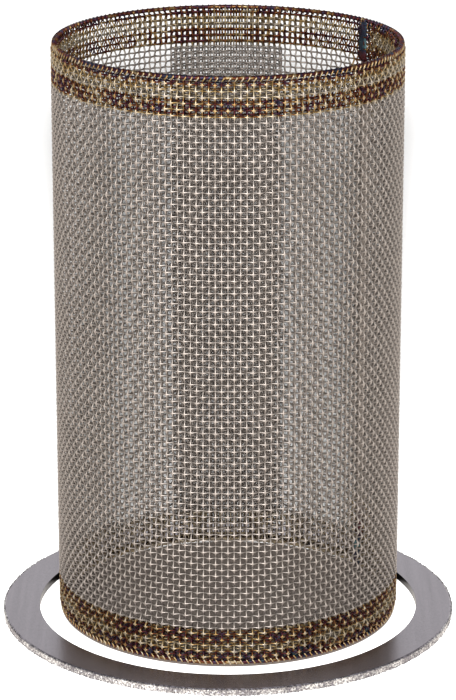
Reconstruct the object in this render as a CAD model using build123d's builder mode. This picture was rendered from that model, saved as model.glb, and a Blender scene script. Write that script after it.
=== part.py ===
from build123d import *
from math import cos, degrees, radians, sin
import os

# Wire cloth: plain weave, 20 wires to the inch each way
mesh_pitch = 1.27
wire_d = 0.41
cloth_t = 2 * wire_d

# Screen: a cylinder of cloth with both ends folded inward and seam welded
screen_od = 73.0
screen_h = 124.0
rim_hem = 8.7
foot_hem = 7.9
fold_bevel = 0.35
# Both folds are seam welded between rollers, which leaves a round band
weld_w = 3.0

# The rolled cloth is slightly flat between its stiffer wires, three meshes to a flat
flats = 60

# Openings: each stands for a block of meshes, so the wall keeps the cloth's open share
flats_per_column = 3
open_flats = 2
gap_rows = 6
gap_h = 12.0

# Relief of the weave: warps stand proud outside, wefts inside
warp_proud = 0.2
warps_per_bar = 3
weft_proud = 0.1

# Lap: the sheet's inner end doubles the wall at the right of the back
lap_w = 23.5
lap_centre = 17.5

# Backing strip: the same cloth, standing inside the back of the wall
strip_w = 23.8
strip_centre = 90.0
strip_clearance = 0.05
strip_end_set = 0.6

# Openings where the cloth is double
double_gap_w = 4.0
double_gap_h = 6.5

# Gasket: a flat ring of flexible graphite lying round the foot
gasket_od = 96.8
gasket_id = 81.0
gasket_t = 1.6
gasket_gap = 0.35

screen_r = screen_od / 2
wall_r = screen_r - warp_proud
inner_r = screen_r - cloth_t
hem_r = inner_r - cloth_t
lap_hem_r = hem_r - cloth_t
flat_angle = 360 / flats
gap_columns = flats // flats_per_column
column_angle = flat_angle * flats_per_column
band_step = (screen_h - rim_hem - foot_hem) / gap_rows
row_feet = [foot_hem + (row + 0.5) * band_step - gap_h / 2 for row in range(gap_rows)]
band_heights = [foot_hem + row * band_step for row in range(1, gap_rows)]

# The gasket's centre is the origin; the screen stands against the back of the gasket's hole
screen_y = gasket_id / 2 - screen_r - gasket_gap
screen_axis = Plane(origin=(0, screen_y, 0))


def span(width, radius):
    """Angle in degrees that a width covers at a radius."""
    return degrees(width / radius)


def rolled(outer, inner):
    """Section of cloth rolled round the axis, both of whose faces have the same flats."""
    RegularPolygon(outer, flats, rotation=flat_angle / 2)
    RegularPolygon(inner, flats, rotation=flat_angle / 2, mode=Mode.SUBTRACT)


def sector(centre, arc, inner, outer, mode=Mode.ADD):
    """Section between two radii that reaches half an arc to each side of an angle."""
    sides = [radians(centre - arc / 2), radians(centre + arc / 2)]
    reach = outer / cos(radians(arc / 2))
    corners = [(inner, sides[0]), (reach, sides[0]), (reach, sides[1]), (inner, sides[1])]
    Polygon(*[(r * cos(a), r * sin(a)) for r, a in corners], align=None, mode=mode)


def columns_inside(centre, arc):
    """Angles of the opening columns that lie wholly inside an arc of doubled cloth."""
    angles = [(column + 0.5) * column_angle for column in range(gap_columns)]
    room = (arc - span(double_gap_w, screen_r)) / 2
    return [angle for angle in angles if abs((angle - centre + 180) % 360 - 180) < room]


def from_axis(edge):
    """Distance from the screen's axis to the middle of an edge."""
    return ((edge @ 0.5) - Vector(0, screen_y, (edge @ 0.5).Z)).length


lap_arc = span(lap_w, inner_r)
strip_arc = span(strip_w, inner_r)
open_arc = open_flats * flat_angle
double_feet = [foot + (gap_h - double_gap_h) / 2 for foot in row_feet]

# Screen cloth: one sheet, rolled, lapped, hemmed and welded
with BuildPart() as screen_cloth:
    with BuildSketch(screen_axis):
        rolled(wall_r, inner_r + weft_proud)
    extrude(amount=screen_h)
    with BuildSketch(screen_axis, screen_axis.offset(screen_h - weld_w)):
        Circle(screen_r)
        RegularPolygon(inner_r + weft_proud, flats, rotation=flat_angle / 2, mode=Mode.SUBTRACT)
    extrude(amount=weld_w)
    with BuildSketch(*[screen_axis.offset(foot) for foot in row_feet]):
        for column in range(gap_columns):
            sector((column + 0.5) * column_angle, open_arc, hem_r, screen_r)
    extrude(amount=gap_h, mode=Mode.SUBTRACT)
    with BuildSketch(*[screen_axis.offset(z - wire_d / 2) for z in band_heights]):
        rolled(inner_r + weft_proud, inner_r)
    extrude(amount=wire_d)
    with BuildSketch(screen_axis):
        rolled(inner_r + weft_proud, hem_r)
    extrude(amount=foot_hem)
    with BuildSketch(screen_axis.offset(screen_h - rim_hem)):
        rolled(inner_r + weft_proud, hem_r)
    extrude(amount=rim_hem)
    with BuildSketch(screen_axis):
        rolled(inner_r + weft_proud, hem_r)
        sector(lap_centre, lap_arc, wire_d, screen_r, mode=Mode.INTERSECT)
    extrude(amount=screen_h)
    with BuildSketch(screen_axis):
        rolled(hem_r, lap_hem_r)
        sector(lap_centre, lap_arc, wire_d, screen_r, mode=Mode.INTERSECT)
    extrude(amount=foot_hem)
    with BuildSketch(screen_axis.offset(screen_h - rim_hem)):
        rolled(hem_r, lap_hem_r)
        sector(lap_centre, lap_arc, wire_d, screen_r, mode=Mode.INTERSECT)
    extrude(amount=rim_hem)
    with BuildSketch(*[screen_axis.offset(foot) for foot in double_feet]):
        for angle in columns_inside(lap_centre, lap_arc):
            sector(angle, span(double_gap_w, screen_r), lap_hem_r, screen_r)
    extrude(amount=double_gap_h, mode=Mode.SUBTRACT)
    folds = screen_cloth.edges().filter_by(Plane.XY).group_by(Axis.Z)
    chamfer([edge for edge in folds[0] + folds[-1] if from_axis(edge) > wall_r - wire_d], fold_bevel)
    with BuildSketch(screen_axis.offset(weld_w)):
        with PolarLocations(wall_r * cos(radians(flat_angle / 2)), gap_columns):
            with GridLocations(1, mesh_pitch, 1, warps_per_bar):
                Rectangle(2 * warp_proud, wire_d)
    extrude(amount=screen_h - 2 * weld_w)
screen_cloth.part.label = "screen_cloth"

# Backing strip: stepped inward where it crosses the hems
strip_r = inner_r - strip_clearance
strip_hem_r = strip_r - cloth_t
foot_step = foot_hem + strip_clearance
rim_step = screen_h - rim_hem - strip_clearance
with BuildPart() as backing_strip:
    with BuildSketch(screen_axis.offset(foot_step)):
        rolled(strip_r, strip_hem_r)
        sector(strip_centre, strip_arc, wire_d, screen_r, mode=Mode.INTERSECT)
    extrude(amount=rim_step - foot_step)
    with BuildSketch(screen_axis.offset(strip_end_set)):
        rolled(strip_hem_r, strip_hem_r - cloth_t)
        sector(strip_centre, strip_arc, wire_d, screen_r, mode=Mode.INTERSECT)
    extrude(amount=foot_step + cloth_t - strip_end_set)
    with BuildSketch(screen_axis.offset(rim_step - cloth_t)):
        rolled(strip_hem_r, strip_hem_r - cloth_t)
        sector(strip_centre, strip_arc, wire_d, screen_r, mode=Mode.INTERSECT)
    extrude(amount=screen_h - strip_end_set - rim_step + cloth_t)
    with BuildSketch(*[screen_axis.offset(foot) for foot in double_feet]):
        for angle in columns_inside(strip_centre, strip_arc):
            sector(angle, span(double_gap_w, screen_r), lap_hem_r, screen_r)
    extrude(amount=double_gap_h, mode=Mode.SUBTRACT)
backing_strip.part.label = "backing_strip"

# Gasket: cut from sheet, so its edges are square
with BuildPart() as gasket:
    with BuildSketch(Plane.XY):
        Circle(gasket_od / 2)
        Circle(gasket_id / 2, mode=Mode.SUBTRACT)
    extrude(amount=gasket_t)
gasket.part.label = "gasket"

os.makedirs("parts", exist_ok=True)
export_step(screen_cloth.part, "parts/screen_cloth.step")
export_step(backing_strip.part, "parts/backing_strip.step")
export_step(gasket.part, "parts/gasket.step")
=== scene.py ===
import bpy
import math
from mathutils import Matrix, Vector


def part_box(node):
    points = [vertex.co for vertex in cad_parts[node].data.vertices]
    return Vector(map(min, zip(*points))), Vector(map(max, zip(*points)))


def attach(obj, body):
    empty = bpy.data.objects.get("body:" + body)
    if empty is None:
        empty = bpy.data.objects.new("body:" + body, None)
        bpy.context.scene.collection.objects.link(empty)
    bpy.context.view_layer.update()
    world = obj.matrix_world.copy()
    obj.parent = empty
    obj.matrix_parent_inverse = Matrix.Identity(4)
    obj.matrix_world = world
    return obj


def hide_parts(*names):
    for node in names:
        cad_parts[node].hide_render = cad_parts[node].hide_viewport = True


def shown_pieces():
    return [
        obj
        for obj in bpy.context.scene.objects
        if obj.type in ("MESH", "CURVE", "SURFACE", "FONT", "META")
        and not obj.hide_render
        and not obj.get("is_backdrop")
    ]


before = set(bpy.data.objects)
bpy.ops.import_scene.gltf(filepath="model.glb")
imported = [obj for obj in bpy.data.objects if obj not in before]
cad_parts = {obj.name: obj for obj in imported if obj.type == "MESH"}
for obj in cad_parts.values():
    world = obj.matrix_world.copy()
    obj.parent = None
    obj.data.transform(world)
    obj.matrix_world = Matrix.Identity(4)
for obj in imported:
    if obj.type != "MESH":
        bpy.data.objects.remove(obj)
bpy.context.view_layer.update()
mm = 0.001

clothLow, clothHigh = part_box("screen_cloth")
axisPoint = Vector((0, (clothLow.y + clothHigh.y) / 2, 0))
screenHeight = clothHigh.z / mm

# Plain weave, sizes in millimetres
weave = {
    "wireRadius": 0.205,
    "warps": 180,           # wires up the wall
    "wefts": 97,            # wires round it
    "outerRadius": 36.45,   # to the proudest wire
    "flatShare": 0.42,      # share of a mesh that a knuckle stays level
    "layerStep": 0.79,      # from the middle of one layer of cloth to the next
}
crimp = weave["wireRadius"]
midRadius = weave["outerRadius"] - 2 * weave["wireRadius"]
hemRadius = midRadius - weave["layerStep"]
meshAngle = 2 * math.pi / weave["warps"]
meshRise = screenHeight / weave["wefts"]


def deselectAll():
    if bpy.context.object and bpy.context.object.mode != "OBJECT":
        bpy.ops.object.mode_set(mode="OBJECT")
    bpy.ops.object.select_all(action="DESELECT")


def makeActive(piece):
    deselectAll()
    piece.select_set(True)
    bpy.context.view_layer.objects.active = piece


def applyModifiers(piece):
    makeActive(piece)
    for modifier in list(piece.modifiers):
        bpy.ops.object.modifier_apply(modifier=modifier.name)


# A point at a distance from the screen's axis, at an angle from +X and a height in mm
def roundAxis(radius, angle, height):
    return Vector((radius * math.cos(angle), radius * math.sin(angle), height)) * mm + axisPoint


# A wire's round section, level (for a warp) or upright (for a weft)
def startWire(name, sides, place, upright):
    deselectAll()
    turn = (math.pi / 2, 0, 0) if upright else (0, 0, 0)
    bpy.ops.mesh.primitive_circle_add(vertices=sides, radius=weave["wireRadius"] * mm,
                                      location=place, rotation=turn)
    piece = bpy.context.object
    piece.name = name
    bpy.ops.object.transform_apply(location=True, rotation=True)
    bpy.ops.object.mode_set(mode="EDIT")
    bpy.ops.mesh.select_all(action="SELECT")
    return piece


def endWire(piece):
    bpy.ops.mesh.select_all(action="SELECT")
    bpy.ops.mesh.normals_make_consistent(inside=False)
    bpy.ops.object.mode_set(mode="OBJECT")
    piece.data.polygons.foreach_set("use_smooth", [True] * len(piece.data.polygons))


# One crimp of a wire: mesh positions and the side of the cloth it lies on there
def crimpSteps():
    near = (1 - weave["flatShare"]) / 2
    return [(near, 1), (1 - near, 1), (1 + near, -1), (2 - near, -1), (2 + near, 1)]


# Each face gets its own cell of the sheet, sides across and steps along
def layCells(piece, sides, steps, acrossOf, alongOf, corner, size):
    cells = piece.data.uv_layers.new(name="OFBake")
    for face in piece.data.polygons:
        middle = acrossOf(face.center)
        side = math.floor(middle / (2 * math.pi) * sides) % sides
        step = min(steps - 1, max(0, int(alongOf(face.center) * steps)))
        for loop in face.loop_indices:
            point = piece.data.vertices[piece.data.loops[loop].vertex_index].co
            across = (acrossOf(point) - middle + math.pi) % (2 * math.pi) > math.pi
            along = alongOf(point) > alongOf(face.center)
            cells.data[loop].uv = (corner[0] + size[0] * (side + 0.06 + 0.88 * across) / sides,
                                   corner[1] + size[1] * (step + along) / steps)


def repeatBy(piece, count, move, slide, merge=True):
    run = piece.modifiers.new("run", "ARRAY")
    run.count = count
    run.use_relative_offset = False
    run.use_constant_offset = True
    run.constant_offset_displace = move
    run.use_merge_vertices = merge
    run.merge_threshold = 0.02 * mm
    run.offset_u, run.offset_v = slide
    applyModifiers(piece)


def repeatRound(piece, count, angle, slide, merge, close):
    deselectAll()
    turn = Matrix.Rotation(angle, 4, "Z")
    bpy.ops.object.empty_add(location=axisPoint - turn @ axisPoint, rotation=(0, 0, angle))
    centre = bpy.context.object
    bpy.context.view_layer.update()
    ring = piece.modifiers.new("ring", "ARRAY")
    ring.count = count
    ring.use_relative_offset = False
    ring.use_object_offset = True
    ring.offset_object = centre
    ring.use_merge_vertices = merge
    ring.use_merge_vertices_cap = close
    ring.merge_threshold = 0.02 * mm
    ring.offset_u, ring.offset_v = slide
    applyModifiers(piece)
    deselectAll()
    centre.select_set(True)
    bpy.ops.object.delete()


def cutAt(piece, height, above):
    makeActive(piece)
    bpy.ops.object.mode_set(mode="EDIT")
    bpy.ops.mesh.select_all(action="SELECT")
    bpy.ops.mesh.bisect(plane_co=(0, 0, height * mm), plane_no=(0, 0, 1),
                        clear_outer=above, clear_inner=not above)
    bpy.ops.object.mode_set(mode="OBJECT")


def closeEnds(piece):
    makeActive(piece)
    bpy.ops.object.mode_set(mode="EDIT")
    bpy.ops.mesh.select_all(action="SELECT")
    bpy.ops.mesh.fill_holes(sides=weave["warps"] // 18)
    bpy.ops.object.mode_set(mode="OBJECT")


# Every second warp of a sheet: sheet says where it starts and how far it goes
def layWarps(name, sheet, odd, corner=(0, 0), size=(1, 1)):
    sides, radius = sheet["sides"], sheet["radius"]
    side = -1 if odd else 1
    angle = sheet["firstAngle"] + odd * meshAngle
    foot = sheet["firstRow"] * meshRise
    wires = (sheet["warps"] - odd + 1) // 2
    repeats = (sheet["rows"] + 1) // 2
    steps = crimpSteps()
    piece = startWire(name, sides, axisPoint + Vector((radius + crimp * side, 0,
                      foot + steps[0][0] * meshRise)) * mm, False)
    for (lastAt, lastSide), (at, onSide) in zip(steps, steps[1:]):
        move = Vector((crimp * side * (onSide - lastSide), 0, (at - lastAt) * meshRise)) * mm
        bpy.ops.mesh.extrude_edges_move(TRANSFORM_OT_translate={"value": move})
    endWire(piece)

    def alongOf(point):
        return (point.z / mm - foot - steps[0][0] * meshRise) / (2 * meshRise)

    def acrossOf(point):
        along = alongOf(point) * 2 + steps[0][0]
        centre = radius + crimp * side * sideAt(along, steps)
        return math.atan2(point.y - axisPoint.y, point.x - centre * mm) % (2 * math.pi)

    cell = (size[0] / wires, size[1] / repeats)
    layCells(piece, sides, 4, acrossOf, alongOf, corner, (cell[0] * 0.96, cell[1]))
    repeatBy(piece, repeats, (0, 0, 2 * meshRise * mm), (0, cell[1]))
    if angle:
        turnRound(piece, angle)
    repeatRound(piece, wires, 2 * meshAngle, (cell[0], 0), False, False)
    if "cutLow" in sheet:
        cutAt(piece, sheet["cutLow"], False)
    if "cutHigh" in sheet:
        cutAt(piece, sheet["cutHigh"], True)
    closeEnds(piece)
    return piece


# Where a crimped wire lies between the two faces of the cloth
def sideAt(along, steps):
    for (lastAt, lastSide), (at, onSide) in zip(steps, steps[1:]):
        if along <= at:
            return lastSide + (onSide - lastSide) * (along - lastAt) / (at - lastAt)
    return steps[-1][1]


def turnRound(piece, angle):
    turn = Matrix.Rotation(angle, 4, "Z")
    piece.matrix_world = Matrix.Translation(axisPoint) @ turn @ Matrix.Translation(-axisPoint)
    makeActive(piece)
    bpy.ops.object.transform_apply(location=True, rotation=True)


# Every second weft of a sheet
def layWefts(name, sheet, odd, corner=(0, 0), size=(1, 1)):
    sides, radius = sheet["sides"], sheet["radius"]
    side = 1 if odd else -1
    height = (sheet["firstRow"] + 0.5 + odd) * meshRise
    rings = (sheet["rows"] - odd + 1) // 2
    whole = sheet["warps"] == weave["warps"]
    repeats = (sheet["warps"] + 1) // 2
    steps = crimpSteps()
    start = steps[0][0] - 0.5
    piece = startWire(name, sides, axisPoint + Vector((radius + crimp * side, 0, height)) * mm, True)
    deselectAll()
    turnRound(piece, start * meshAngle)
    bpy.ops.object.mode_set(mode="EDIT")
    bpy.ops.mesh.select_all(action="SELECT")
    for (lastAt, lastSide), (at, onSide) in zip(steps, steps[1:]):
        angle = (at - 0.5) * meshAngle
        bpy.ops.mesh.extrude_edges_move(TRANSFORM_OT_translate={"value": (0, 0, 0)})
        bpy.ops.transform.rotate(value=-(at - lastAt) * meshAngle, orient_axis="Z",
                                 center_override=axisPoint)
        shift = crimp * side * (onSide - lastSide) * mm
        bpy.ops.transform.translate(value=(shift * math.cos(angle), shift * math.sin(angle), 0))
    endWire(piece)

    def alongOf(point):
        angle = math.atan2(point.y - axisPoint.y, point.x)
        return (angle / meshAngle - start) / 2

    def acrossOf(point):
        centre = radius + crimp * side * sideAt(alongOf(point) * 2 + steps[0][0], steps)
        out = (point - axisPoint).xy.length - centre * mm
        return math.atan2(point.z - height * mm, out) % (2 * math.pi)

    cell = (size[0] / rings, size[1] / repeats)
    layCells(piece, sides, 4, acrossOf, alongOf, corner, (cell[0] * 0.96, cell[1]))
    if sheet["firstAngle"]:
        turnRound(piece, sheet["firstAngle"])
    repeatRound(piece, repeats, 2 * meshAngle, (0, cell[1]), True, whole)
    repeatBy(piece, rings, (0, 0, 2 * meshRise * mm), (cell[0], 0), merge=False)
    if not whole:
        closeEnds(piece)
    return piece


def joinAs(name, parts):
    makeActive(parts[0])
    for part in parts[1:]:
        part.select_set(True)
    bpy.ops.object.join()
    parts[0].name = name
    parts[0].data.name = name
    return parts[0]


# A small sheet in one piece, its four sets of wires in the quarters of one map
def laySheet(name, sheet):
    quarter = (0.49, 0.49)
    return joinAs(name, [layWarps("warps", sheet, 0, (0, 0), quarter),
                         layWarps("warps", sheet, 1, (0.5, 0), quarter),
                         layWefts("wefts", sheet, 0, (0, 0.5), quarter),
                         layWefts("wefts", sheet, 1, (0.5, 0.5), quarter)])


# Steps the part of an inner sheet that crosses the hems inward by one layer
def stepIn(piece, low, high, radius):
    makeActive(piece)
    bpy.ops.object.mode_set(mode="EDIT")
    bpy.ops.mesh.select_all(action="DESELECT")
    bpy.ops.object.mode_set(mode="OBJECT")
    for vertex in piece.data.vertices:
        vertex.select = not low < vertex.co.z / mm < high
    bpy.ops.object.mode_set(mode="EDIT")
    share = 1 - weave["layerStep"] / radius
    bpy.ops.transform.resize(value=(share, share, 1), center_override=axisPoint)
    bpy.ops.object.mode_set(mode="OBJECT")


# The wall's cloth
hems = {
    "rimEdge": 90,     # rows of mesh below the rim's hem
    "footEdge": 6,     # rows of mesh up to the top of the foot's hem
    "foldRow": 1,      # row at each end that the fold takes up
    "offset": 0.25,    # row by which the folded cloth is out of step with the wall
}
wall = {
    "sides": 5, "radius": midRadius, "firstAngle": 0.0,
    "firstRow": 0, "rows": 97, "warps": weave["warps"],
    "cutLow": hems["foldRow"] * meshRise,
    "cutHigh": screenHeight - hems["foldRow"] * meshRise,
}
wallWefts = dict(wall, firstRow=1, rows=95)
wallPieces = [
    layWarps("wall_warps_even", wall, 0),
    layWarps("wall_warps_odd", wall, 1),
    layWefts("wall_wefts_even", wallWefts, 1),
    layWefts("wall_wefts_odd", wallWefts, 0),
]
print("stage: wall woven")

rimHem = dict(wall, sides=4, radius=hemRadius, firstRow=hems["rimEdge"] + hems["offset"], rows=6)
del rimHem["cutLow"]
footHem = dict(wall, sides=4, radius=hemRadius, firstRow=hems["offset"], rows=6)
del footHem["cutHigh"]
rimHemPiece = laySheet("rim_hem", rimHem)
footHemPiece = laySheet("foot_hem", footHem)
print("stage: hems woven")

# Sheets inside the wall, half a mesh out of step with it
lap = {
    "sides": 4, "radius": hemRadius, "firstAngle": math.radians(-1),
    "firstRow": 0.5, "rows": 96, "warps": 19,
}
backing = dict(lap, firstAngle=math.radians(71), warps=20)
lapPiece = laySheet("lap_cloth", lap)
backingPiece = laySheet("backing_strip_cloth", backing)
for piece in (lapPiece, backingPiece):
    stepIn(piece, hems["footEdge"] * meshRise, hems["rimEdge"] * meshRise, hemRadius)
print("stage: lap and backing strip woven")


# Folds: each warp turns inward over the end of the wall
folds = {
    "sides": 5,
    "bendSteps": 4,
    "clear": 0.02,     # mm between the proudest wire and the end of the screen
    "lean": 0.5,       # mm that a warp leans sideways as it goes over
}
bendRadius = weave["layerStep"] / 2
bendHeight = screenHeight - weave["wireRadius"] - bendRadius - folds["clear"]


def layFolds(name, atRim):
    up = 1 if atRim else -1
    edge = wall["cutHigh"] if atRim else wall["cutLow"]
    bend = bendHeight if atRim else screenHeight - bendHeight
    piece = startWire(name, folds["sides"], roundAxis(midRadius, 0, edge), False)
    bpy.ops.mesh.extrude_edges_move(TRANSFORM_OT_translate={
        "value": (0, folds["lean"] * mm, (bend - edge) * mm)})
    bpy.ops.mesh.spin(steps=folds["bendSteps"], angle=math.pi, axis=(0, up, 0),
                      center=roundAxis(midRadius - bendRadius, 0, bend))
    bpy.ops.mesh.extrude_edges_move(TRANSFORM_OT_translate={"value": (0, 0, (edge - bend) * mm)})
    bpy.ops.mesh.select_all(action="SELECT")
    bpy.ops.mesh.remove_doubles(threshold=0.01 * mm)
    endWire(piece)
    centre = roundAxis(midRadius - bendRadius, 0, bend)

    def alongOf(point):
        out, rise = point.x - centre.x, (point.z - centre.z) * up
        if rise < 0.0:
            short = 0.2 * max(0, 1 + rise / abs(bend - edge) / mm)
            return short if out > 0 else 1 - short
        return 0.2 + 0.6 * math.atan2(rise, out) / math.pi

    def acrossOf(point):
        out, rise = point.x - centre.x, (point.z - centre.z) * up
        reach = abs(out) if rise < 0 else math.hypot(out, rise)
        gone = min(1, 1 + rise / abs(bend - edge) / mm) if out > 0 else 1
        return math.atan2(point.y - axisPoint.y - folds["lean"] * gone * mm,
                          reach - bendRadius * mm) % (2 * math.pi)

    cell = 1 / weave["warps"]
    layCells(piece, folds["sides"], 6, acrossOf, alongOf, (0, 0), (cell * 0.96, 1))
    repeatRound(piece, weave["warps"], meshAngle, (cell, 0), False, False)
    closeEnds(piece)
    return piece


foldPieces = [layFolds("rim_folds", True), layFolds("foot_folds", False)]
print("stage: folds turned")

# Wires fused together inside each fold, and down the free edge of the lap
beads = {
    "reach": 0.40, "height": 0.44,      # half sizes of a fold's bead
    "lumps": 0.9, "roughen": 0.22,
    "seamAngle": 34.2, "seamWidth": 2.8, "seamThick": 0.8, "seamEnd": 0.7, "seamSteps": 96,
    "seamLumps": 1.3, "seamRoughen": 0.7, "seamPlace": 0.05,
}


def roughen(piece, lumps, depth, middle=0.5, group=""):
    texture = bpy.data.textures.new(piece.name, "CLOUDS")
    texture.noise_scale = lumps * mm
    push = piece.modifiers.new("lumps", "DISPLACE")
    push.texture = texture
    push.texture_coords = "LOCAL"
    push.strength = depth * mm
    push.mid_level = middle
    push.vertex_group = group
    applyModifiers(piece)


def layBead(name, height):
    deselectAll()
    bpy.ops.mesh.primitive_torus_add(
        location=(axisPoint.x, axisPoint.y, height * mm), major_segments=360, minor_segments=8,
        major_radius=(midRadius - bendRadius) * mm, minor_radius=beads["reach"] * mm)
    piece = bpy.context.object
    piece.name = name
    bpy.ops.object.transform_apply(location=True)
    bpy.ops.object.mode_set(mode="EDIT")
    bpy.ops.mesh.select_all(action="SELECT")
    bpy.ops.transform.resize(value=(1, 1, beads["height"] / beads["reach"]),
                             center_override=(0, 0, height * mm))
    bpy.ops.object.mode_set(mode="OBJECT")
    piece.data.uv_layers[0].name = "OFBake"
    roughen(piece, beads["lumps"], beads["roughen"])
    piece.data.polygons.foreach_set("use_smooth", [True] * len(piece.data.polygons))
    return piece


def laySeam(name):
    deselectAll()
    bpy.ops.mesh.primitive_circle_add(
        vertices=10, radius=beads["seamWidth"] / 2 * mm, fill_type="NGON",
        location=roundAxis(hemRadius + beads["seamPlace"], 0, beads["seamEnd"]))
    piece = bpy.context.object
    piece.name = name
    bpy.ops.object.transform_apply(location=True)
    bpy.ops.object.mode_set(mode="EDIT")
    bpy.ops.mesh.select_all(action="SELECT")
    bpy.ops.transform.resize(value=(beads["seamThick"] / beads["seamWidth"], 1, 1),
                             center_override=roundAxis(hemRadius + beads["seamPlace"], 0, 0))
    rise = (screenHeight - 2 * beads["seamEnd"]) / beads["seamSteps"]
    for step in range(beads["seamSteps"]):
        bpy.ops.mesh.extrude_region_move(TRANSFORM_OT_translate={"value": (0, 0, rise * mm)})
    bpy.ops.mesh.select_all(action="SELECT")
    bpy.ops.mesh.normals_make_consistent(inside=False)
    bpy.ops.uv.smart_project(angle_limit=math.radians(66), island_margin=0.01)
    bpy.ops.object.mode_set(mode="OBJECT")
    piece.data.uv_layers[0].name = "OFBake"
    stepIn(piece, hems["footEdge"] * meshRise, hems["rimEdge"] * meshRise, hemRadius)
    turnRound(piece, math.radians(beads["seamAngle"]))
    roughen(piece, beads["seamLumps"], beads["seamRoughen"])
    piece.data.polygons.foreach_set("use_smooth", [True] * len(piece.data.polygons))
    return piece


beadPieces = [layBead("rim_fold_bead", bendHeight), layBead("foot_fold_bead", screenHeight - bendHeight)]
seamPiece = laySeam("lap_seam_weld")
print("stage: welds run")

# Gasket: the punch left its outer edge torn and sparkling
gasketLow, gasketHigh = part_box("gasket")
ring = {
    "outer": gasketHigh.x / mm, "inner": 40.5, "thick": gasketHigh.z / mm,
    "segments": 1440, "edgeSteps": 5, "lip": 0.35, "lumps": 0.45, "torn": 0.5,
}


def growEdge(radius, lastRadius, height, lastHeight):
    bpy.ops.mesh.extrude_edges_move(TRANSFORM_OT_translate={"value": (0, 0, (height - lastHeight) * mm)})
    grow = radius / lastRadius
    bpy.ops.transform.resize(value=(grow, grow, 1), center_override=(0, 0, 0))


def layRing(name):
    deselectAll()
    outer, inner, thick, lip = ring["outer"], ring["inner"], ring["thick"], ring["lip"]
    bpy.ops.mesh.primitive_circle_add(vertices=ring["segments"], radius=inner * mm,
                                      location=(0, 0, thick * mm))
    piece = bpy.context.object
    piece.name = name
    bpy.ops.object.transform_apply(location=True)
    bpy.ops.object.mode_set(mode="EDIT")
    bpy.ops.mesh.select_all(action="SELECT")
    section = [(inner, thick), (outer - 2 * lip, thick), (outer - lip, thick), (outer, thick)]
    section += [(outer, thick * (1 - step / ring["edgeSteps"])) for step in range(1, ring["edgeSteps"] + 1)]
    section += [(inner, 0), (inner, thick)]
    for (lastRadius, lastHeight), (radius, height) in zip(section, section[1:]):
        growEdge(radius, lastRadius, height, lastHeight)
    bpy.ops.mesh.select_all(action="SELECT")
    bpy.ops.mesh.remove_doubles(threshold=0.001 * mm)
    bpy.ops.mesh.normals_make_consistent(inside=False)
    bpy.ops.uv.smart_project(angle_limit=math.radians(66), island_margin=0.002)
    bpy.ops.object.mode_set(mode="OBJECT")
    piece.data.uv_layers[0].name = "OFBake"
    torn = piece.vertex_groups.new(name="torn")
    torn.add([vertex.index for vertex in piece.data.vertices
              if vertex.co.xy.length > (outer - 1.5 * lip) * mm], 1.0, "REPLACE")
    roughen(piece, ring["lumps"], ring["torn"], 1.0, "torn")
    piece.vertex_groups.clear()
    return piece


gasketPiece = layRing("gasket_ring")
print("stage: gasket cut")

# Camera at the photograph's place, worked out for a 456 by 700 frame
view = {
    "place": (0.0, -0.6279, 0.2553),
    "pitch": 72.556,
    "lens": 247.1,
    "sensor": 36.0,
}
cameraData = bpy.data.cameras.new("camera")
cameraData.lens = view["lens"]
cameraData.sensor_width = view["sensor"]
cameraData.sensor_fit = "HORIZONTAL"
cameraData.clip_start = 0.01
cameraData.clip_end = 20
camera = bpy.data.objects.new("camera", cameraData)
camera.location = view["place"]
camera.rotation_euler = (math.radians(view["pitch"]), 0, 0)
bpy.context.scene.collection.objects.link(camera)
bpy.context.scene.camera = camera


# Adds a node with its settings and what goes into its sockets
def addNode(tree, kind, settings=None, inputs=None):
    node = tree.nodes.new(kind)
    for name, value in (settings or {}).items():
        setattr(node, name, value)
    for socket, value in (inputs or {}).items():
        if isinstance(value, bpy.types.NodeSocket):
            tree.links.new(value, node.inputs[socket])
        else:
            node.inputs[socket].default_value = value
    return node


def hexToLinear(code):
    parts = [int(code[i:i + 2], 16) / 255 for i in (1, 3, 5)]
    return tuple(p / 12.92 if p <= 0.04045 else ((p + 0.055) / 1.055) ** 2.4 for p in parts) + (1,)


def setRamp(node, stops, interpolation="LINEAR"):
    ramp = node.color_ramp
    ramp.interpolation = interpolation
    while len(ramp.elements) < len(stops):
        ramp.elements.new(0.5)
    for element, (position, value) in zip(ramp.elements, stops):
        element.position = position
        element.color = hexToLinear(value) if isinstance(value, str) else (value, value, value, 1)


def newMaterial(name):
    material = bpy.data.materials.new(name)
    material.use_nodes = True
    material.node_tree.nodes.clear()
    return material, material.node_tree


# Bright drawn stainless wire, seam welded at the folds and hems: ivory knuckles on grey-brown, with straw,
# bronze, maroon, purple and navy heat tint where the weld wheels ran, and painted shade on inner sides and
# where a wire dips behind another
tint = {
    "bright": "#C2B8B0",
    "patch": 1.1,        # mm, width of one wire's patch of tint
    "cloud": 4.5,        # mm, width of the larger clouds of tint
    "roughness": 0.36,
    "seam": 1.0,         # depth of the tint beside the lap's seam
    "seamReach": 6.0,    # mm to each side of the seam that its heat tinted
    "innerShade": 0.62,        # painted shade: what the inner side of a wire keeps of its brightness
    "recessShade": 0.55,      # painted shade: what it keeps of its brightness where it dips behind another
}


def share(height):
    return height / screenHeight


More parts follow.
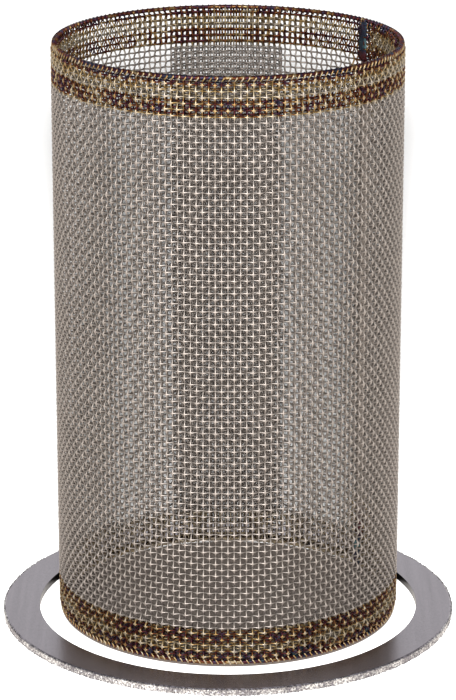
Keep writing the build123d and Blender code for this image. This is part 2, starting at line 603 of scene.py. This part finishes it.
# The rub is where a wire's proud side starts and ends, in mm from the axis, and what it keeps there
def newWireMaterial(name, rub):
    material, tree = newMaterial(name)
    place = addNode(tree, "ShaderNodeTexCoord").outputs["Object"]
    parts = addNode(tree, "ShaderNodeSeparateXYZ", inputs={0: place})
    heightShare = addNode(tree, "ShaderNodeMath", {"operation": "DIVIDE"},
                          {0: parts.outputs["Z"], 1: screenHeight * mm}).outputs[0]
    heat = addNode(tree, "ShaderNodeValToRGB", inputs={0: heightShare})
    setRamp(heat, [
        (0.0, 0.5), (share(0.6), 0.62), (share(2.7), 0.58), (share(3.3), 0.24), (share(4.2), 0.12),
        (share(5.0), 0.5), (share(7.3), 0.5), (share(8.2), 0.0),
        (1 - share(8.8), 0.0), (1 - share(7.9), 0.54), (1 - share(5.2), 0.5), (1 - share(4.4), 0.08),
        (1 - share(3.5), 0.2), (1 - share(2.4), 0.26), (1 - share(1.8), 0.58), (1.0, 0.62),
    ])
    patches = addNode(tree, "ShaderNodeTexNoise", {"noise_dimensions": "3D"},
                      {"Vector": place, "Scale": 1 / (tint["patch"] * mm), "Detail": 1.0})
    clouds = addNode(tree, "ShaderNodeTexNoise", {"noise_dimensions": "3D"},
                     {"Vector": place, "Scale": 1 / (tint["cloud"] * mm), "Detail": 2.0})
    mixed = addNode(tree, "ShaderNodeMath", {"operation": "ADD"},
                    {0: patches.outputs["Fac"], 1: clouds.outputs["Fac"]}).outputs[0]
    spread = addNode(tree, "ShaderNodeMapRange", inputs={
        "Value": mixed, "From Min": 0.72, "From Max": 1.28, "To Min": 0.25, "To Max": 1.6}).outputs[0]

    # Knuckles that stand proud were rubbed bright by the wheels
    across = addNode(tree, "ShaderNodeVectorMath", {"operation": "MULTIPLY_ADD"}, {
        0: place, 1: (1, 1, 0), 2: tuple(-axisPoint)}).outputs[0]
    fromAxis = addNode(tree, "ShaderNodeVectorMath", {"operation": "LENGTH"},
                       {0: across}).outputs["Value"]
    rubbed = addNode(tree, "ShaderNodeMapRange", {"interpolation_type": "SMOOTHSTEP"}, {
        "Value": fromAxis, "From Min": rub[0] * mm, "From Max": rub[1] * mm,
        "To Min": 1.0, "To Max": rub[2]}).outputs[0]

    # The lap's seam tints the cloth beside it, next to the hems
    beside = addNode(tree, "ShaderNodeVectorMath", {"operation": "DISTANCE"}, {
        0: across, 1: tuple(roundAxis(hemRadius, math.radians(beads["seamAngle"]), 0) - axisPoint)})
    seamHeat = addNode(tree, "ShaderNodeMapRange", inputs={
        "Value": beside.outputs["Value"], "From Min": 1.0 * mm,
        "From Max": tint["seamReach"] * mm, "To Min": tint["seam"], "To Max": 0.0}).outputs[0]
    nearHem = addNode(tree, "ShaderNodeValToRGB", inputs={0: heightShare})
    setRamp(nearHem, [(share(10), 1.0), (share(18), 0.0), (1 - share(22), 0.0), (1 - share(14), 1.0)])
    seamShown = addNode(tree, "ShaderNodeMath", {"operation": "MULTIPLY"},
                        {0: seamHeat, 1: nearHem.outputs["Color"]}).outputs[0]
    hottest = addNode(tree, "ShaderNodeMath", {"operation": "MAXIMUM"},
                      {0: heat.outputs["Color"], 1: seamShown}).outputs[0]

    # Inner sides are less tinted than outer ones, and painted shade makes them duller
    outward = addNode(tree, "ShaderNodeVectorMath", {"operation": "NORMALIZE"}, {0: across}).outputs[0]
    facing = addNode(tree, "ShaderNodeVectorMath", {"operation": "DOT_PRODUCT"}, {
        0: addNode(tree, "ShaderNodeNewGeometry").outputs["Normal"], 1: outward}).outputs["Value"]
    innerKeeps = addNode(tree, "ShaderNodeMapRange", inputs={
        "Value": heightShare, "From Min": share(10), "From Max": 1 - share(14),
        "To Min": 0.2, "To Max": 0.8}).outputs[0]
    inward = addNode(tree, "ShaderNodeMapRange", {"interpolation_type": "SMOOTHSTEP"}, {
        "Value": facing, "From Min": 0.1, "From Max": -0.5}).outputs[0]
    keeps = addNode(tree, "ShaderNodeMix", {"data_type": "FLOAT"},
                    {0: inward, 2: rubbed, 3: innerKeeps}).outputs[0]
    cooled = addNode(tree, "ShaderNodeMath", {"operation": "MULTIPLY"}, {0: hottest, 1: keeps}).outputs[0]
    depth = addNode(tree, "ShaderNodeMath", {"operation": "MULTIPLY", "use_clamp": True},
                    {0: cooled, 1: spread}).outputs[0]
    film = addNode(tree, "ShaderNodeValToRGB", inputs={0: depth})
    setRamp(film, [
        (0.0, tint["bright"]), (0.12, "#CBBB9F"), (0.25, "#BB9C66"), (0.36, "#8E5F3C"),
        (0.48, "#6A3828"), (0.60, "#653642"), (0.76, "#4C4258"), (0.9, "#3E4A60"), (1.0, "#5A7078"),
    ])
    # Painted shade: inner sides are dulled, and outer sides darken where a wire dips behind another
    innerPaintedShade = addNode(tree, "ShaderNodeMapRange", {"interpolation_type": "SMOOTHSTEP"}, {
        "Value": facing, "From Min": -0.3, "From Max": -0.9, "To Min": 1.0, "To Max": tint["innerShade"]})
    recessPaintedShade = addNode(tree, "ShaderNodeMapRange", {"interpolation_type": "SMOOTHSTEP"}, {
        "Value": fromAxis, "From Min": (rub[1] - 0.33) * mm, "From Max": rub[1] * mm,
        "To Min": tint["recessShade"], "To Max": 1.0})
    paintedShade = addNode(tree, "ShaderNodeMix", {"data_type": "FLOAT"},
                    {0: inward, 2: recessPaintedShade.outputs[0], 3: innerPaintedShade.outputs[0]})
    grain = addNode(tree, "ShaderNodeTexNoise", {"noise_dimensions": "3D"},
                    {"Vector": place, "Scale": 1 / (2.4 * mm), "Detail": 2.0})
    shine = addNode(tree, "ShaderNodeMapRange", inputs={
        "Value": grain.outputs["Fac"], "From Min": 0.3, "From Max": 0.7,
        "To Min": 0.78, "To Max": 1.0})
    # The tint film is darkened by the painted shade times a random grain
    level = addNode(tree, "ShaderNodeMath", {"operation": "MULTIPLY"},
                    {0: shine.outputs[0], 1: paintedShade.outputs[0]}).outputs[0]
    colour = addNode(tree, "ShaderNodeMix", {"data_type": "RGBA", "blend_type": "MULTIPLY"},
                     {0: 1.0, "A": film.outputs["Color"], "B": level})
    rough = addNode(tree, "ShaderNodeMapRange", inputs={
        "Value": grain.outputs["Fac"], "From Min": 0.3, "From Max": 0.7,
        "To Min": tint["roughness"] - 0.05, "To Max": tint["roughness"] + 0.08})
    surface = addNode(tree, "ShaderNodeBsdfPrincipled", inputs={
        "Base Color": colour.outputs[2], "Roughness": rough.outputs[0], "Metallic": 1.0})
    addNode(tree, "ShaderNodeOutputMaterial", inputs={"Surface": surface.outputs[0]})
    return material


wireMaterial = newWireMaterial("drawn_stainless_wire_heat_tinted", (midRadius + 0.16, midRadius + 0.38, 0.35))
foldMaterial = newWireMaterial("drawn_stainless_wire_folded", (midRadius - 0.05, midRadius + 0.16, 0.3))
beadMaterial = newWireMaterial("drawn_stainless_wire_fused", (midRadius, midRadius + 1, 1.0))

# Lap seam fused by the weld wheel: dark oxide in slanting streaks of navy, teal and maroon
seam = {"streak": 0.8, "slant": 35.0, "roughness": 0.4}
seamMaterial, tree = newMaterial("fused_stainless_seam")
place = addNode(tree, "ShaderNodeTexCoord").outputs["Object"]
slanted = addNode(tree, "ShaderNodeMapping", inputs={
    "Vector": place, "Rotation": (math.radians(seam["slant"]), 0, 0), "Scale": (1, 1, 0.35)})
streaks = addNode(tree, "ShaderNodeTexNoise", {"noise_dimensions": "3D"},
                  {"Vector": slanted.outputs[0], "Scale": 1 / (seam["streak"] * mm), "Detail": 2.0})
clouds = addNode(tree, "ShaderNodeTexNoise", {"noise_dimensions": "3D"},
                 {"Vector": place, "Scale": 1 / (7.0 * mm), "Detail": 1.0})
mixed = addNode(tree, "ShaderNodeMix", {"data_type": "FLOAT"},
                {0: 0.55, 2: streaks.outputs["Fac"], 3: clouds.outputs["Fac"]})
spread = addNode(tree, "ShaderNodeMapRange", inputs={
    "Value": mixed.outputs[0], "From Min": 0.36, "From Max": 0.64, "To Min": -0.3, "To Max": 0.3})
seamHeight = addNode(tree, "ShaderNodeMath", {"operation": "DIVIDE"}, {
    0: addNode(tree, "ShaderNodeSeparateXYZ", inputs={0: place}).outputs["Z"], 1: screenHeight * mm})
bands = addNode(tree, "ShaderNodeValToRGB", inputs={0: seamHeight.outputs[0]})
setRamp(bands, [(0.0, 0.4), (share(6), 0.8), (share(9), 0.1), (1 - share(10), 0.1),
                (1 - share(7.6), 0.2), (1 - share(6.2), 0.85), (1 - share(4.6), 0.7), (1 - share(3), 0.4)])
toned = addNode(tree, "ShaderNodeMath", {"operation": "ADD", "use_clamp": True},
                {0: bands.outputs["Color"], 1: spread.outputs[0]})
film = addNode(tree, "ShaderNodeValToRGB", inputs={0: toned.outputs[0]})
setRamp(film, [(0.0, "#5E2F32"), (0.22, "#4A3540"), (0.42, "#33384A"), (0.62, "#3A4B57"),
               (0.8, "#5F8388"), (1.0, "#8FA9A6")])
nearHem = addNode(tree, "ShaderNodeValToRGB", inputs={0: seamHeight.outputs[0]})
setRamp(nearHem, [(share(10), 1.0), (share(18), 0.0), (1 - share(22), 0.0), (1 - share(14), 1.0)])
seamColour = addNode(tree, "ShaderNodeMix", {"data_type": "RGBA"}, {
    0: nearHem.outputs["Color"], "A": hexToLinear(tint["bright"]), "B": film.outputs["Color"]})
dents = addNode(tree, "ShaderNodeBump", inputs={
    "Strength": 0.8, "Distance": 0.12 * mm, "Height": streaks.outputs["Fac"]})
surface = addNode(tree, "ShaderNodeBsdfPrincipled", inputs={
    "Base Color": seamColour.outputs[2], "Roughness": seam["roughness"], "Metallic": 1.0,
    "Normal": dents.outputs[0]})
addNode(tree, "ShaderNodeOutputMaterial", inputs={"Surface": surface.outputs[0]})

# Flexible graphite sheet, rolled and die cut: satin lilac grey that mirrors what stands on it,
# dark in the hole, torn to bright flakes round the outside
sheet = {
    "face": "#9A949B", "hole": "#2E2A2D", "faceRough": 0.24, "edgeRough": 0.42,
    "flake": 0.35,      # mm
    "line": 1.6,        # mm between the faint rolling lines
}
gasketMaterial, tree = newMaterial("rolled_graphite_sheet")
place = addNode(tree, "ShaderNodeTexCoord").outputs["Object"]
fromCentre = addNode(tree, "ShaderNodeVectorMath", {"operation": "LENGTH"}, {
    0: addNode(tree, "ShaderNodeVectorMath", {"operation": "MULTIPLY"},
               {0: place, 1: (1, 1, 0)}).outputs[0]}).outputs["Value"]
flakes = addNode(tree, "ShaderNodeTexNoise", {"noise_dimensions": "3D"},
                 {"Vector": place, "Scale": 1 / (sheet["flake"] * mm), "Detail": 3.0}).outputs["Fac"]
blotches = addNode(tree, "ShaderNodeTexNoise", {"noise_dimensions": "3D"},
                   {"Vector": place, "Scale": 1 / (5 * mm), "Detail": 2.0}).outputs["Fac"]
drawn = addNode(tree, "ShaderNodeMapping", inputs={"Vector": place, "Scale": (1, 0.04, 1)}).outputs[0]
lines = addNode(tree, "ShaderNodeTexNoise", {"noise_dimensions": "3D"},
                {"Vector": drawn, "Scale": 1 / (sheet["line"] * mm), "Detail": 3.0}).outputs["Fac"]
wear = addNode(tree, "ShaderNodeMix", {"data_type": "FLOAT"}, {0: 0.5, 2: flakes, 3: lines}).outputs[0]
faceLevel = addNode(tree, "ShaderNodeMapRange", inputs={
    "Value": wear, "From Min": 0.35, "From Max": 0.65, "To Min": 0.84, "To Max": 1.04}).outputs[0]
faceColour = addNode(tree, "ShaderNodeMix", {"data_type": "RGBA", "blend_type": "MULTIPLY"},
                     {0: 1.0, "A": hexToLinear(sheet["face"]), "B": faceLevel}).outputs[2]
torn = addNode(tree, "ShaderNodeMix", {"data_type": "FLOAT"}, {0: 0.35, 2: flakes, 3: blotches}).outputs[0]
flakeColour = addNode(tree, "ShaderNodeValToRGB", inputs={0: torn})
setRamp(flakeColour, [(0.36, "#4B4748"), (0.46, "#8D898B"), (0.52, "#BDB9B8"), (0.6, "#FBF9F6")])
ragged = addNode(tree, "ShaderNodeMath", {"operation": "MULTIPLY_ADD"},
                 {0: torn, 1: 1.4 * mm, 2: fromCentre}).outputs[0]
edgeShown = addNode(tree, "ShaderNodeMapRange", inputs={
    "Value": ragged, "From Min": (ring["outer"] + 0.26) * mm, "From Max": (ring["outer"] + 0.4) * mm})
holeShown = addNode(tree, "ShaderNodeMapRange", inputs={
    "Value": fromCentre, "From Min": (ring["inner"] + 0.06) * mm, "From Max": (ring["inner"] + 0.02) * mm})
outerColour = addNode(tree, "ShaderNodeMix", {"data_type": "RGBA"}, {
    0: edgeShown.outputs[0], "A": faceColour, "B": flakeColour.outputs["Color"]}).outputs[2]
wholeColour = addNode(tree, "ShaderNodeMix", {"data_type": "RGBA"}, {
    0: holeShown.outputs[0], "A": outerColour, "B": hexToLinear(sheet["hole"])}).outputs[2]
rough = addNode(tree, "ShaderNodeMix", {"data_type": "FLOAT"}, {
    0: edgeShown.outputs[0], 2: sheet["faceRough"], 3: sheet["edgeRough"]}).outputs[0]
dents = addNode(tree, "ShaderNodeBump", inputs={
    "Strength": 0.3, "Distance": 0.03 * mm, "Height": wear}).outputs[0]
surface = addNode(tree, "ShaderNodeBsdfPrincipled", inputs={
    "Base Color": wholeColour, "Roughness": rough, "Metallic": 1.0, "Normal": dents})
addNode(tree, "ShaderNodeOutputMaterial", inputs={"Surface": surface.outputs[0]})
print("stage: materials made")

screenPieces = wallPieces + foldPieces + beadPieces + [rimHemPiece, footHemPiece, lapPiece]
for piece in screenPieces + [backingPiece]:
    piece.data.materials.clear()
    piece.data.materials.append(foldMaterial if piece in foldPieces else
                                beadMaterial if piece in beadPieces else wireMaterial)
    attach(piece, "root")
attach(seamPiece, "root")
seamPiece.data.materials.append(seamMaterial)
for piece in screenPieces + [seamPiece]:
    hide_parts("screen_cloth")
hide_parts("backing_strip")
gasketPiece.data.materials.append(gasketMaterial)
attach(gasketPiece, "root")
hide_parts("gasket")

# Studio: white floor and backdrop, the floor inside the screen's foot painted dark as its shadow, and a soft
# key light over the camera. The floor has a lamp of its own from the camera's side, so that the screen's shadow
# falls behind it
studio = {
    "fill": 0.08, "front": 0.76, "above": 0.15, "backdrop": 1.0,
    "keyPower": 9.8, "keySize": 0.7, "keyPlace": (-0.12, -0.95, 0.50),
    # shade: painted shadow colour of the floor inside the screen's foot
    "floor": "#F6F5F4", "shade": "#544D48", "bounce": "#B2AEAA",
    "floorPower": 250.0, "floorSize": 0.03, "floorPlace": (0.0, -0.628, 0.282), "lift": 0.0,
}


def aimAt(lamp, target):
    lamp.rotation_euler = (Vector(target) - lamp.location).to_track_quat("-Z", "Y").to_euler()


world = bpy.data.worlds.new("studio")
bpy.context.scene.world = world
world.use_nodes = True
tree = world.node_tree
tree.nodes.clear()
ray = addNode(tree, "ShaderNodeLightPath")
toward = addNode(tree, "ShaderNodeTexCoord").outputs["Generated"]
parts = addNode(tree, "ShaderNodeSeparateXYZ", inputs={0: toward})
low = addNode(tree, "ShaderNodeMapRange", {"interpolation_type": "SMOOTHSTEP"}, {
    "Value": parts.outputs["Z"], "From Min": 0.62, "From Max": 0.42,
    "To Min": studio["above"], "To Max": studio["backdrop"]})
ahead = addNode(tree, "ShaderNodeMapRange", {"interpolation_type": "SMOOTHSTEP"}, {
    "Value": parts.outputs["Y"], "From Min": 0.2, "From Max": -0.3})
behind = addNode(tree, "ShaderNodeMix", {"data_type": "FLOAT"},
                 {0: ahead.outputs[0], 2: low.outputs[0], 3: studio["front"]})
soft = addNode(tree, "ShaderNodeMix", {"data_type": "FLOAT"},
               {0: ray.outputs["Is Glossy Ray"], 2: studio["fill"], 3: behind.outputs[0]})
seen = addNode(tree, "ShaderNodeMath", {"operation": "MAXIMUM"},
               {0: ray.outputs["Is Camera Ray"], 1: ray.outputs["Is Transmission Ray"]})
level = addNode(tree, "ShaderNodeMix", {"data_type": "FLOAT"},
                {0: seen.outputs[0], 2: soft.outputs[0], 3: 1.0})
background = addNode(tree, "ShaderNodeBackground", inputs={
    "Color": (1, 1, 1, 1), "Strength": level.outputs[0]})
addNode(tree, "ShaderNodeOutputWorld", inputs={"Surface": background.outputs[0]})

lampData = bpy.data.lights.new("key", "AREA")
lampData.energy = studio["keyPower"]
lampData.size = studio["keySize"]
lamp = bpy.data.objects.new("key", lampData)
lamp.location = studio["keyPlace"]
aimAt(lamp, (0, 0, screenHeight * mm / 2))
bpy.context.scene.collection.objects.link(lamp)
partOnly = bpy.data.collections.new("part_only")
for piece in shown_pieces():
    partOnly.objects.link(piece)
lamp.light_linking.receiver_collection = partOnly

deselectAll()
bpy.ops.mesh.primitive_circle_add(vertices=64, radius=4.0, fill_type="NGON", location=(0, 0, -0.0002))
floor = bpy.context.object
floor.name = "floor"
floorMaterial, tree = newMaterial("white_floor_with_painted_shadow")
ray = addNode(tree, "ShaderNodeLightPath")
place = addNode(tree, "ShaderNodeTexCoord").outputs["Object"]
fromAxis = addNode(tree, "ShaderNodeVectorMath", {"operation": "DISTANCE"},
                   {0: place, 1: tuple(axisPoint)})
# Painted shadow: inside the screen's foot the camera sees the floor in the dark shade colour
inside = addNode(tree, "ShaderNodeMapRange", {"interpolation_type": "SMOOTHSTEP"}, {
    "Value": fromAxis.outputs["Value"], "From Min": (midRadius - 0.2) * mm, "From Max": (midRadius + 0.3) * mm})
floorWithPaintedShadow = addNode(tree, "ShaderNodeMix", {"data_type": "RGBA"}, {
    0: inside.outputs[0], "A": hexToLinear(studio["shade"]), "B": hexToLinear(studio["floor"])})
tone = addNode(tree, "ShaderNodeMix", {"data_type": "RGBA"}, {
    0: ray.outputs["Is Camera Ray"], "A": hexToLinear(studio["bounce"]), "B": floorWithPaintedShadow.outputs[2]})
matt = addNode(tree, "ShaderNodeBsdfDiffuse", inputs={"Color": tone.outputs[2]})
lift = addNode(tree, "ShaderNodeMath", {"operation": "MULTIPLY"},
               {0: ray.outputs["Is Camera Ray"], 1: studio["lift"]})
glow = addNode(tree, "ShaderNodeEmission", inputs={"Color": (1, 1, 1, 1), "Strength": lift.outputs[0]})
both = addNode(tree, "ShaderNodeAddShader", inputs={0: matt.outputs[0], 1: glow.outputs[0]})
addNode(tree, "ShaderNodeOutputMaterial", inputs={"Surface": both.outputs[0]})
floor.data.materials.append(floorMaterial)
floor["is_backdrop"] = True

floorOnly = bpy.data.collections.new("floor_only")
floorOnly.objects.link(floor)
lampData = bpy.data.lights.new("floor_lamp", "POINT")
lampData.energy = studio["floorPower"]
lampData.shadow_soft_size = studio["floorSize"]
lampData.use_nodes = True
tree = lampData.node_tree
tree.nodes.clear()
falloff = addNode(tree, "ShaderNodeLightFalloff", inputs={"Strength": 1.0})
glow = addNode(tree, "ShaderNodeEmission", inputs={"Strength": falloff.outputs["Constant"]})
addNode(tree, "ShaderNodeOutputLight", inputs={"Surface": glow.outputs[0]})
lamp = bpy.data.objects.new("floor_lamp", lampData)
lamp.location = studio["floorPlace"]
bpy.context.scene.collection.objects.link(lamp)
lamp.light_linking.receiver_collection = floorOnly
bpy.context.scene.view_settings.view_transform = "Standard"
print("stage: studio ready")

faces = {piece.name: sum(len(face.vertices) - 2 for face in piece.data.polygons)
         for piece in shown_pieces()}
print("triangles:", faces, sum(faces.values()))
